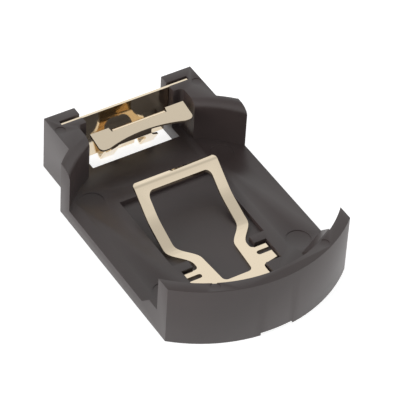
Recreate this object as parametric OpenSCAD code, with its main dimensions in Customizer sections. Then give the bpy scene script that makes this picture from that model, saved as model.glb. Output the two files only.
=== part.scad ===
// Surface-mount holder for one 20 mm coin cell.
// A one-piece moulded housing carries two spring contacts, each stamped and folded from one
// strip: a loop under the cell (negative) and a plate with a sprung bar behind it (positive).
// Origin: centre of the cell pocket, on the plane of the circuit board. +Y points to the
// positive contact, +Z up. The cell slides in from the open sides or is tipped in from above.

/* [Cell] */
// Diameter of the coin cell
cell_d = 20; // [16:0.1:24]
// Play between the cell's rim and the rear wall
cell_play = 0.2; // [0.1:0.05:0.5]

/* [Housing] */
// Width across the two cut-off sides
body_w = 15.8; // [13:0.1:19]
// Thickness of the floor
floor_t = 1.15; // [1:0.05:1.6]
// Height of the rear wall and posts above the board
rear_h = 4.95; // [4.6:0.05:6.2]
// Height of the front wall above the board
front_h = 5.35; // [4.6:0.05:6.6]
// Thickness of the rear wall
rear_wall_t = 0.92; // [0.7:0.02:1.4]
// Thickness of the front wall
front_wall_t = 0.95; // [0.7:0.05:1.4]
// Radius of the front wall's inner face
front_r = 11.05; // [10.9:0.05:14]
// Rounding of the rear wall's inner rim
rim_r = 0.7; // [0.3:0.05:0.8]
// Width across the two rear posts
block_w = 13.14; // [12.2:0.1:15]
// Depth of the rear posts behind the pocket wall
block_d = 2.72; // [2.4:0.05:3.6]
// Width of the gap between the posts
gap_w = 7.8; // [7.2:0.1:9]
// Height of the corner steps above the floor
step_h = 1; // [0.5:0.1:1.5]
// Width of each corner step
step_w = 2.6; // [1:0.1:3.2]
// Radius of the four large ejector marks on the floor
mark_r = 1.0; // [0.5:0.1:1.2]
// Radius of the four small ejector marks on posts and front wall
small_mark_r = 0.42; // [0.2:0.02:0.44]
// Depth of the ejector marks
mark_t = 0.06; // [0.03:0.01:0.12]

/* [Contacts] */
// Thickness of the contact strip
sheet_t = 0.2; // [0.15:0.01:0.25]
// Clearance round a contact in its seat
seat_gap = 0.05; // [0.03:0.01:0.1]
// Inner radius of the tight folds
fold_r = 0.15; // [0.1:0.01:0.25]
// Width of the negative solder tail
tail_w = 2.6; // [1.6:0.1:3.2]
// Depth of the seat of the negative contact in the floor
seat_t = 0.45; // [0.3:0.05:0.6]

/* [Negative loop] */
// Width across the loop
loop_w = 7.36; // [6.4:0.1:7.9]
// Width of each leg of the loop
leg_w = 0.9; // [0.6:0.05:1.3]
// Width across the neck of the loop
neck_w = 4.64; // [4.2:0.1:5]
// First rise of the legs, in degrees
rise_1 = 22; // [14:1:26]
// Further rise of the legs, in degrees
rise_2 = 16; // [8:1:18]

/* [Positive contact] */
// Width across the plate that sits in the posts
plate_w = 11.3; // [10:0.1:12]
// Width of the spring behind the cell
spring_w = 4.7; // [4:0.1:4.8]
// Width of the window between the spring's two legs
window_w = 2.5; // [2:0.1:2.9]
// Width of the spring at its waist
waist_w = 2.8; // [2:0.1:3.6]
// Width across the bar that hooks over the cell
bar_w = 8.3; // [7:0.1:8.8]
// Lean of the spring's lower half towards the cell, in degrees
lean_1 = 30; // [20:1:34]
// Lean of the spring's upper half, in degrees
lean_2 = 8; // [2:1:12]
// Downward slope of the bar towards its front edge, in degrees
bar_slope = 11.3; // [5:0.1:16]

/* [Hidden] */
$fn = 96;
eps = 0.01;
over = 1;

// pocket and walls
pocket_r = cell_d / 2 + cell_play;
rear_r = pocket_r + rear_wall_t;
block_end = pocket_r + block_d;
front_cy = pocket_r - 9.1;
front_out_r = front_r + front_wall_t;
floor_edge = pocket_r - 0.4;

// corner steps: place, direction and slope of the ramp
step_foot = -4.5;
step_angle = 28;
step_ramp = 49;

// seat of the plate: slits in the two posts
plate_y = block_end - 1.12;
slit_front = plate_y - sheet_t / 2 - seat_gap;
slit_back = slit_front + 0.45;
slit_w = plate_w + 2 * seat_gap;
slit_floor = floor_t + 0.15;
plate_top = rear_h - 0.1;
relief_x = bar_w / 2 + 0.55;
relief_end = plate_y - 0.8;

// seat of the negative contact in the floor
seat_z = floor_t - seat_t;
well_w = loop_w + 0.74;
well_rear = 5.45;
well_front = -2.45;
barb_rear = -3.25;
barb_front = -5.45;
barb_w = 7.5;
base_front = -6.9;
tail_slot_rear = base_front + 0.2;

// bends
fold_c = fold_r + sheet_t / 2;
bend_step = 10;

function dir(a) = [cos(a), sin(a)];
function ease(s) = (1 - cos(180 * min(1, max(0, s)))) / 2;
function arc_points(c, r, a0, a1, n = 8) = [for (k = [0:n]) c + r * dir(a0 + (a1 - a0) * k / n)];
function flip(points) = [for (k = [len(points) - 1:-1:0]) [-points[k].x, points[k].y]];
function reverse(points) = [for (k = [len(points) - 1:-1:0]) points[k]];

// Centre line of a bent strip. Each step is [straight length, turn in degrees, bend radius];
// the result is a list of [point, heading].
function walk(steps, at, heading, i = 0) =
    i >= len(steps) ? [] :
    let (
        run = steps[i][0],
        turn = steps[i][1],
        r = steps[i][2],
        corner = at + run * dir(heading),
        side = sign(turn),
        hub = corner + side * r * dir(heading + 90),
        n = max(1, ceil(abs(turn) / bend_step)),
        bend = [for (k = [1:n]) let (h = heading + turn * k / n) [hub - side * r * dir(h + 90), h]],
        start = i == 0 ? [[at, heading]] : [],
        straight = run > 0 ? [[corner, heading]] : [],
        last = turn == 0 ? [corner, heading] : bend[n - 1]
    )
    concat(start, straight, turn == 0 ? [] : bend, walk(steps, last[0], last[1], i + 1));

function strip_outline(line, t) = concat(
    [for (s = line) s[0] + t / 2 * dir(s[1] + 90)],
    reverse([for (s = line) s[0] - t / 2 * dir(s[1] + 90)])
);

// A strip bent in the YZ plane, w wide and centred on X = 0.
module bent_strip(line, w) {
    rotate([90, 0, 90])
        linear_extrude(w, center = true)
            polygon(strip_outline(line, sheet_t));
}

// ---------------------------------------------------------------- housing

module side_cut() {
    square([body_w, 4 * cell_d], center = true);
}

module rear_half() {
    translate([-cell_d, 0])
        square([2 * cell_d, 2 * cell_d]);
}

module front_half() {
    translate([-cell_d, -2 * cell_d])
        square([2 * cell_d, 2 * cell_d]);
}

module front_circle(r) {
    translate([0, front_cy])
        circle(r);
}

// Outline of the rear wall with its two posts.
module rear_outline() {
    intersection() {
        rear_half();
        union() {
            intersection() {
                circle(rear_r);
                side_cut();
            }
            translate([-block_w / 2, 0])
                square([block_w, block_end]);
        }
    }
}

module front_outline() {
    intersection() {
        front_half();
        front_circle(front_out_r);
        side_cut();
    }
}

module rear_wall() {
    linear_extrude(rear_h)
        difference() {
            rear_outline();
            circle(pocket_r);
        }
}

module front_wall() {
    linear_extrude(front_h)
        difference() {
            front_outline();
            front_circle(front_r);
        }
}

module floor_plate() {
    linear_extrude(floor_t) {
        rear_outline();
        front_outline();
    }
}

// Hollow that rounds the inner rim of the rear wall.
module rim_cutter() {
    rotate_extrude(angle = 180)
        difference() {
            translate([pocket_r - over, rear_h - rim_r])
                square([rim_r + over, rim_r + over]);
            translate([pocket_r + rim_r, rear_h - rim_r])
                circle(rim_r);
        }
}

// Ramped steps in the two front corners; the cell's lower edge rests on them.
module corner_steps() {
    for (side = [0, 1])
        mirror([side, 0, 0])
            intersection() {
                translate([body_w / 2, step_foot, floor_t])
                    rotate([90, 0, step_angle - 90])
                        linear_extrude(cell_d, center = true)
                            polygon([
                                [0, -eps],
                                [step_h / tan(step_ramp), step_h],
                                [front_r, step_h],
                                [front_r, -eps]
                            ]);
                linear_extrude(front_h)
                    intersection() {
                        front_outline();
                        translate([body_w / 2 - step_w, -2 * cell_d])
                            square([step_w, 2 * cell_d]);
                    }
            }
}

// Gap between the posts, open below and behind, with a relief for the ends of the bar.
module post_gap() {
    translate([-gap_w / 2, floor_edge, -over])
        cube([gap_w, block_end, rear_h + 2 * over]);
    translate([0, 0, floor_t])
        linear_extrude(rear_h)
            intersection() {
                translate([-relief_x, 0])
                    square([2 * relief_x, relief_end]);
                union() {
                    translate([-relief_x, 0])
                        square([2 * relief_x, relief_end - 0.4]);
                    for (side = [-1, 1])
                        translate([side * (relief_x - 0.4), relief_end - 0.4])
                            circle(0.4);
                    translate([-relief_x + 0.4, 0])
                        square([2 * relief_x - 0.8, relief_end]);
                }
            }
}

module plate_slits() {
    translate([-slit_w / 2, slit_front, slit_floor])
        cube([slit_w, slit_back - slit_front, rear_h]);
}

// Seat of the negative contact: a well for the loop, pockets for its barbs, a slot for its tail.
module contact_seat() {
    translate([0, 0, seat_z])
        linear_extrude(floor_t) {
            translate([-well_w / 2, well_front])
                square([well_w, well_rear - well_front]);
            translate([-neck_w / 2 - 0.4, barb_rear - eps])
                square([neck_w + 0.8, well_front - barb_rear + 2 * eps]);
            translate([-barb_w / 2, barb_front])
                square([barb_w, barb_rear - barb_front]);
            translate([-2.35, base_front - seat_gap])
                square([4.7, barb_front - base_front + seat_gap + eps]);
        }
    translate([-tail_w / 2 - 2 * seat_gap, base_front - fold_c - sheet_t, -over])
        cube([tail_w + 4 * seat_gap, fold_c + sheet_t + 0.2, floor_t + over + eps]);
    translate([-tail_w / 2 - 2 * seat_gap, -cell_d, -over])
        cube([tail_w + 4 * seat_gap, cell_d + tail_slot_rear, over + sheet_t + seat_gap]);
}

module ejector_mark(x, y, top, r) {
    for (side = [-1, 1])
        translate([side * x, y, top - mark_t])
            cylinder(h = mark_t + over, r = r);
}

module ejector_marks() {
    ejector_mark(body_w / 2 - 2.04, 6.55, floor_t, mark_r);
    ejector_mark(body_w / 2 - 2.04, -4.5, floor_t, mark_r);
    ejector_mark(block_w / 2 - 0.47, block_end - 1.8, rear_h, small_mark_r);
    ejector_mark(4.72, front_cy - sqrt(pow(front_r + 0.38, 2) - pow(4.72, 2)), front_h, small_mark_r);
}

module housing() {
    color("#4a4142")
        difference() {
            union() {
                floor_plate();
                rear_wall();
                front_wall();
                corner_steps();
            }
            rim_cutter();
            post_gap();
            plate_slits();
            contact_seat();
            ejector_marks();
        }
}

// ---------------------------------------------------------------- positive contact

spring_line = walk(
    [
        [plate_top - floor_t / 2, lean_1 - 180, 0.3],
        [2.05, lean_2 - lean_1, 0.8],
        [1.75, 90 - lean_2 + bar_slope, 0.25],
        [0.3, 0, 0]
    ],
    [plate_y, plate_top],
    -90
);
bar_root = spring_line[len(spring_line) - 2][0];
arch_top = 2.3;
waist_r = 1.2;
waist_z = 2.75;

// Front view of the spring: two legs that join in an arch below a waist.
module spring_front() {
    difference() {
        translate([-spring_w / 2, -over])
            square([spring_w, rear_h + 2 * over]);
        translate([-window_w / 2, -2 * over])
            square([window_w, 2 * over + arch_top - 0.8]);
        translate([-window_w / 2 + 0.8, 0])
            square([window_w - 1.6, arch_top]);
        for (side = [-1, 1]) {
            translate([side * (window_w / 2 - 0.8), arch_top - 0.8])
                circle(0.8);
            translate([side * (waist_w / 2 + waist_r), waist_z])
                circle(waist_r);
        }
    }
}

// Plate that stands in the slits, wide above the posts' stops and narrow between the posts.
module plate_front() {
    translate([-plate_w / 2, slit_floor])
        square([plate_w, plate_top - slit_floor]);
    translate([-gap_w / 2 + 0.3, floor_t / 2])
        square([gap_w - 0.6, slit_floor - floor_t / 2 + eps]);
}

// Top view of the bar, drawn from the fold that carries it towards its front edge.
module bar_top() {
    front = 1.36;
    rear = 0.42;
    corner = 0.4;
    hollow_r = 11.85;
    difference() {
        union() {
            translate([-bar_w / 2, -rear])
                square([bar_w, rear + front - corner]);
            translate([-bar_w / 2 + corner, 0])
                square([bar_w - 2 * corner, front]);
            for (side = [-1, 1])
                translate([side * (bar_w / 2 - corner), front - corner])
                    circle(corner);
        }
        translate([0, 0.86 + hollow_r])
            circle(hollow_r);
        polygon([
            [-spring_w / 2 - 0.35, -rear - over],
            [-spring_w / 2 - 0.1, 0],
            [spring_w / 2 + 0.1, 0],
            [spring_w / 2 + 0.35, -rear - over]
        ]);
    }
}

// Solder tail folded back under the gap, cut from the window between the legs.
positive_tail_line = walk(
    [[floor_t / 2 - sheet_t / 2 - fold_c + eps, 90, fold_c], [0.75, 0, 0]],
    [plate_y, floor_t / 2 + eps],
    -90
);

module positive_contact() {
    color("#d8c79c") {
        intersection() {
            bent_strip(spring_line, spring_w);
            translate([0, plate_y + over, 0])
                rotate([90, 0, 0])
                    linear_extrude(plate_y)
                        spring_front();
        }
        translate([0, plate_y + sheet_t / 2, 0])
            rotate([90, 0, 0])
                linear_extrude(sheet_t)
                    plate_front();
        translate([0, bar_root.x, bar_root.y])
            rotate([bar_slope, 0, 0])
                rotate([0, 180, 180])
                    linear_extrude(sheet_t, center = true)
                        bar_top();
        bent_strip(positive_tail_line, window_w - 0.6);
    }
}

// ---------------------------------------------------------------- negative contact

base_z = seat_z + sheet_t / 2;
tail_line = walk(
    [
        [10.4 + base_front - 2 * fold_c, 90, fold_c],
        [base_z - sheet_t / 2 - 2 * fold_c, -90, fold_c],
        [-base_front - 1.3, rise_1, 3],
        [1.6, rise_2, 4],
        [2.15, -rise_1 - rise_2 + 3, 0.35],
        [0.3, 0, 0]
    ],
    [-10.4, sheet_t / 2],
    0
);

loop_rear = tail_line[len(tail_line) - 1][0].x;
half_neck = neck_w / 2;
half_loop = loop_w / 2;
barb_tip = barb_w / 2 - seat_gap;

// Right half of the loop's outer edge, from the rear to the tail.
outer_edge = concat(
    arc_points([half_loop - 0.4, loop_rear - 0.4], 0.4, 90, 0),
    [for (k = [0:10]) let (s = k / 10) [half_neck + (half_loop - half_neck) * ease(1 - s), -0.6 - 2.25 * s]],
    arc_points([half_neck + 0.3, -3.1], 0.3, 180, 270, 5),
    [[barb_tip - 0.1, -3.4], [barb_tip - 0.1, -3.88]],
    arc_points([half_neck + 0.33, -4.09], 0.21, 90, 270),
    [[barb_tip - 0.1, -4.3], [barb_tip, -5.05], [half_neck + 0.25, -5.28]],
    arc_points([half_neck + 0.2, -5.6], 0.3, 90, 180, 5),
    [[half_neck - 0.12, base_front + 0.3], [tail_w / 2, base_front + 0.3], [tail_w / 2, -cell_d]]
);

// Right half of the loop's window.
inner_edge = concat(
    arc_points([half_loop - leg_w - 0.5, loop_rear - leg_w - 0.5], 0.5, 90, 0),
    [for (k = [0:10]) let (s = k / 10, n = half_neck - leg_w + 0.03)
        [n + (half_loop - leg_w - n) * ease(1 - s), -0.4 - 2.2 * s]],
    arc_points([half_neck - leg_w - 0.55, -5.02], 0.4, 0, -90, 6)
);

module loop_top() {
    difference() {
        polygon(concat(outer_edge, flip(outer_edge)));
        polygon(concat(inner_edge, flip(inner_edge)));
    }
}

module negative_contact() {
    color("#dfd3bb")
        intersection() {
            bent_strip(tail_line, loop_w + over);
            linear_extrude(2 * rear_h, center = true)
                loop_top();
        }
}

housing();
positive_contact();
negative_contact();
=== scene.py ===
import math

import bmesh
import bpy
from mathutils import Matrix, Vector

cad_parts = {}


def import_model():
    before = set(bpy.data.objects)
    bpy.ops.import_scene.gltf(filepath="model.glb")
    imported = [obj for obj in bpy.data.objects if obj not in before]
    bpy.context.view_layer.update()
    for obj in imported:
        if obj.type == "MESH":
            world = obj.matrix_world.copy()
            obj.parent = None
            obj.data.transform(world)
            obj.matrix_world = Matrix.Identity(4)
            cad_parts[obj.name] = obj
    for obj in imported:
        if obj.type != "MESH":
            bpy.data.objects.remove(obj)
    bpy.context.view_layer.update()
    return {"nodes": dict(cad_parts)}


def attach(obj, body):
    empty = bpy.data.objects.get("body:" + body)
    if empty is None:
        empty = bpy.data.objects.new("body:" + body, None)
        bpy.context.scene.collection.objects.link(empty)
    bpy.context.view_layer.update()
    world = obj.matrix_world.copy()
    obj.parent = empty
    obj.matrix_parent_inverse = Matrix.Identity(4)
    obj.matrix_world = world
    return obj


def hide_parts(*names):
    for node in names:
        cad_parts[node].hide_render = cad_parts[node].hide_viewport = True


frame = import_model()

MM = 0.001

# Edges flatter than this stay smooth and are not eased.
SMOOTH_ANGLE = math.radians(32)
# The housing's mould edges are eased by this much.
MOULD_EDGE = 0.06 * MM
# Where the lens stands, and how it is turned.
LENS_PLACE = Vector((-85.09, -127.03, 147.48)) * MM
LENS_AZIMUTH = math.radians(-33.72)
LENS_ELEVATION = math.radians(43.16)
LENS_ROLL = math.radians(3.65)

# ---------------------------------------------------------------- small helpers


def linear(hex_colour):
    """An sRGB hex colour as linear RGBA."""
    parts = [int(hex_colour[i : i + 2], 16) / 255 for i in (1, 3, 5)]
    return [c / 12.92 if c <= 0.04045 else ((c + 0.055) / 1.055) ** 2.4 for c in parts] + [1.0]


def node(tree, kind, links=(), **settings):
    """Adds a node, sets its inputs by name or its own properties, and links (output, input name) pairs."""
    new = tree.nodes.new(kind)
    for name, value in settings.items():
        if hasattr(new, name):
            setattr(new, name, value)
        else:
            new.inputs[name.replace("_", " ")].default_value = value
    for source, target in links:
        tree.links.new(source, new.inputs[target])
    return new


def blank_material(name):
    """A new material with only its output node."""
    material = bpy.data.materials.new(name)
    material.use_nodes = True
    tree = material.node_tree
    tree.nodes.clear()
    output = node(tree, "ShaderNodeOutputMaterial")
    return material, tree, output


# ---------------------------------------------------------------- materials


def moulded_lcp():
    """Glass-filled liquid crystal polymer, moulded: dark brown-grey, satin, with a faint
    cloudy flow pattern and a fine spark-eroded texture that spreads the highlights."""
    material, tree, output = blank_material("moulded liquid crystal polymer")
    place = node(tree, "ShaderNodeTexCoord").outputs["Object"]
    flow = node(tree, "ShaderNodeTexNoise", [(place, "Vector")], Scale=1 / (6 * MM), Detail=3.0)
    colour = node(tree, "ShaderNodeValToRGB", [(flow.outputs["Fac"], "Fac")])
    colour.color_ramp.elements[0].position = 0.3
    colour.color_ramp.elements[0].color = linear("#302827")
    colour.color_ramp.elements[1].position = 0.7
    colour.color_ramp.elements[1].color = linear("#372E2D")
    grain = node(tree, "ShaderNodeTexNoise", [(place, "Vector")], Scale=1 / (0.08 * MM), Detail=2.0)
    height = (grain.outputs["Fac"], "Height")
    bump = node(tree, "ShaderNodeBump", [height], Strength=0.12, Distance=0.01 * MM)
    shader = node(
        tree,
        "ShaderNodeBsdfPrincipled",
        [(colour.outputs["Color"], "Base Color"), (bump.outputs["Normal"], "Normal")],
        Roughness=0.4,
        IOR=1.6,
    )
    tree.links.new(shader.outputs["BSDF"], output.inputs["Surface"])
    return material


def gold_plate():
    """Copper alloy strip with a thin bright gold plating: mirror-like, pale champagne."""
    material, tree, output = blank_material("gold-plated phosphor bronze")
    place = node(tree, "ShaderNodeTexCoord").outputs["Object"]
    rolling = node(tree, "ShaderNodeTexNoise", [(place, "Vector")], Scale=1 / (1.5 * MM), Detail=2.0)
    height = (rolling.outputs["Fac"], "Height")
    bump = node(tree, "ShaderNodeBump", [height], Strength=0.05, Distance=0.02 * MM)
    shader = node(
        tree,
        "ShaderNodeBsdfPrincipled",
        [(bump.outputs["Normal"], "Normal")],
        Base_Color=linear("#EADBC2"),
        Metallic=1.0,
        Roughness=0.08,
    )
    tree.links.new(shader.outputs["BSDF"], output.inputs["Surface"])
    return material


# ---------------------------------------------------------------- object


def finished(name, material, edge=0):
    """A merged copy of a CAD node in its material. A width for edge eases its sharp edges."""
    source = frame["nodes"][name]
    mesh = source.data.copy()
    piece = bpy.data.objects.new(name + "_shell", mesh)
    bpy.context.scene.collection.objects.link(piece)
    body = bmesh.new()
    body.from_mesh(mesh)
    bmesh.ops.remove_doubles(body, verts=body.verts, dist=0.001 * MM)
    bmesh.ops.dissolve_limit(body, angle_limit=math.radians(0.5), verts=body.verts, edges=body.edges)
    body.to_mesh(mesh)
    body.free()
    mesh.materials.clear()
    mesh.materials.append(material)
    bpy.ops.object.select_all(action="DESELECT")
    piece.select_set(True)
    bpy.context.view_layer.objects.active = piece
    if edge > 0:
        bevel = piece.modifiers.new("eased edges", "BEVEL")
        bevel.width = edge
        bevel.segments = 2
        bevel.limit_method = "ANGLE"
        bevel.angle_limit = SMOOTH_ANGLE
        bevel.use_clamp_overlap = True
        bpy.ops.object.modifier_apply(modifier=bevel.name)
    bpy.ops.object.shade_smooth_by_angle(angle=SMOOTH_ANGLE)
    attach(piece, "root")
    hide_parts(name)
    return piece


plastic = moulded_lcp()
plating = gold_plate()
finished("housing", plastic, MOULD_EDGE)
finished("positive_contact", plating)
finished("negative_contact", plating)

# ---------------------------------------------------------------- studio


def floor():
    """White card under the holder: plain white to the lens and in the bright metal, with a faint shadow."""
    bpy.ops.mesh.primitive_plane_add(size=2.0, location=(0, 0, -0.02 * MM))
    plane = bpy.context.object
    plane.name = "studio_floor"
    material, tree, output = blank_material("white card")
    card = node(tree, "ShaderNodeBsdfDiffuse", Color=(0.5, 0.5, 0.5, 1.0))
    white = node(tree, "ShaderNodeEmission", Strength=0.8)
    light_path = node(tree, "ShaderNodeLightPath")
    rays = node(
        tree,
        "ShaderNodeMath",
        [(light_path.outputs["Is Camera Ray"], 0), (light_path.outputs["Is Glossy Ray"], 1)],
        operation="MAXIMUM",
    )
    glow = node(tree, "ShaderNodeMixShader", [(rays.outputs[0], 0), (white.outputs[0], 2)])
    both = node(tree, "ShaderNodeAddShader", [(card.outputs[0], 0), (glow.outputs[0], 1)])
    tree.links.new(both.outputs[0], output.inputs["Surface"])
    plane.data.materials.append(material)


def sky_ramp(tree, height, stops):
    """A grey ramp over the height of the sky: (height, brightness) pairs."""
    ramp = node(tree, "ShaderNodeValToRGB", [(height, "Fac")])
    marks = ramp.color_ramp.elements
    while len(marks) < len(stops):
        marks.new(0.5)
    for mark, (position, grey) in zip(marks, stops):
        mark.position = position
        mark.color = (grey, grey, grey, 1)
    return ramp.outputs["Color"]


def world():
    """A white room, darker overhead. The lens sees it as plain white, and the bright metal sees it
    lighter than it lights the holder."""
    scene_world = bpy.data.worlds.new("studio")
    bpy.context.scene.world = scene_world
    scene_world.use_nodes = True
    tree = scene_world.node_tree
    tree.nodes.clear()
    output = node(tree, "ShaderNodeOutputWorld")
    direction = node(tree, "ShaderNodeTexCoord").outputs["Generated"]
    height = node(tree, "ShaderNodeSeparateXYZ", [(direction, "Vector")]).outputs["Z"]
    light_path = node(tree, "ShaderNodeLightPath")
    room_colour = sky_ramp(tree, height, [(0.0, 0.9), (0.35, 0.75), (0.6, 0.3), (1.0, 0.22)])
    seen_colour = sky_ramp(tree, height, [(0.0, 1.0), (0.68, 1.0), (0.87, 0.7), (1.0, 0.5)])
    room = node(tree, "ShaderNodeBackground", [(room_colour, "Color")], Strength=0.8)
    seen = node(tree, "ShaderNodeBackground", [(seen_colour, "Color")], Strength=1.0)
    backdrop = node(tree, "ShaderNodeBackground", Color=(1, 1, 1, 1), Strength=1.0)
    lit = node(
        tree,
        "ShaderNodeMixShader",
        [(light_path.outputs["Is Glossy Ray"], 0), (room.outputs[0], 1), (seen.outputs[0], 2)],
    )
    mix = node(
        tree,
        "ShaderNodeMixShader",
        [(light_path.outputs["Is Camera Ray"], 0), (lit.outputs[0], 1), (backdrop.outputs[0], 2)],
    )
    tree.links.new(mix.outputs[0], output.inputs["Surface"])


def softbox(name, place, size, power):
    """A square lamp aimed at the holder. It is left out of reflections, so the metal shows no hard glare."""
    data = bpy.data.lights.new(name, "AREA")
    data.shape = "RECTANGLE"
    data.size = size
    data.size_y = size
    data.energy = power
    lamp = bpy.data.objects.new(name, data)
    bpy.context.scene.collection.objects.link(lamp)
    lamp.location = place
    lamp.rotation_euler = (-Vector(place)).to_track_quat("-Z", "Y").to_euler()
    lamp.visible_glossy = False


def camera():
    """A long lens that looks down on the front left corner."""
    back = Vector((
        math.sin(LENS_AZIMUTH) * math.cos(LENS_ELEVATION),
        -math.cos(LENS_AZIMUTH) * math.cos(LENS_ELEVATION),
        math.sin(LENS_ELEVATION),
    ))
    data = bpy.data.cameras.new("camera")
    data.sensor_width = 36.0
    data.lens = 250.7
    data.clip_start = 0.005
    data.clip_end = 10.0
    view = bpy.data.objects.new("camera", data)
    bpy.context.scene.collection.objects.link(view)
    right = Vector((0, 0, 1)).cross(back).normalized()
    up = back.cross(right)
    across = math.cos(LENS_ROLL) * right + math.sin(LENS_ROLL) * up
    upright = -math.sin(LENS_ROLL) * right + math.cos(LENS_ROLL) * up
    turn = Matrix((across, upright, back)).transposed()
    view.matrix_world = Matrix.Translation(LENS_PLACE) @ turn.to_4x4()
    bpy.context.scene.camera = view


floor()
world()
camera()
softbox("top softbox", (0.05, 0.08, 0.30), 0.25, 0.2)
softbox("left softbox", (-0.30, 0.02, 0.10), 0.2, 0.8)
softbox("right softbox", (0.22, -0.25, 0.08), 0.2, 0.6)
bpy.context.scene.view_settings.view_transform = "Standard"
